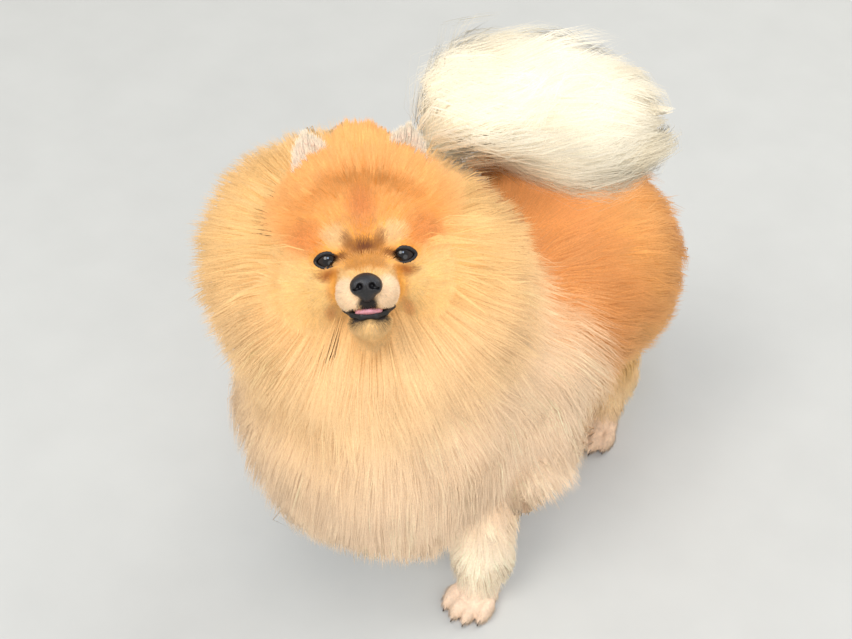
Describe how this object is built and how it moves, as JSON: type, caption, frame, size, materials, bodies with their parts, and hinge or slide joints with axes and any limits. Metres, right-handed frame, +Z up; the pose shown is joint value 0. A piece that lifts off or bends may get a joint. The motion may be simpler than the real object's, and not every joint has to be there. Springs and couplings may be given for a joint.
{
  "type": "pomeranian dog",
  "caption": "Life-size standing pomeranian with a long double coat as flat tapered locks, a full ruff, a plumed tail carried over the back and the head turned up to its left.",
  "frame": {"origin": "on the floor, under the centre of the bounding box", "axes": "+Z up, -Y the way the dog faces, +X its left side"},
  "size_m": [0.2496, 0.3152, 0.3121],
  "materials": {
    "coat_orange": "soft orange fur",
    "coat_golden": "soft golden fur",
    "coat_cream": "soft peach-cream fur",
    "coat_pale": "soft cream-white fur",
    "ear": "thin furred skin",
    "paw": "short pinkish-cream fur",
    "nose_leather": "moist black nose leather",
    "tongue": "moist pink tongue",
    "eye": "dark brown glossy eye",
    "claw": "dark horn"
  },
  "bodies": {
    "root": {"head": "coat_orange", "lower_jaw": "coat_cream", "tongue": "tongue", "nose": "nose_leather", "eye_right": "eye", "eye_left": "eye", "ear_right": "ear", "ear_left": "ear", "neck": "coat_golden", "chest": "coat_cream", "torso": "coat_orange", "hindquarters": "coat_golden", "tail": "coat_pale", "foreleg_left": "coat_cream", "foreleg_right": "coat_cream", "hindleg_left": "coat_golden", "hindleg_right": "coat_golden", "forepaw_left": "paw", "forepaw_right": "paw", "hindpaw_left": "paw", "hindpaw_right": "paw"}
  },
  "joints": []
}
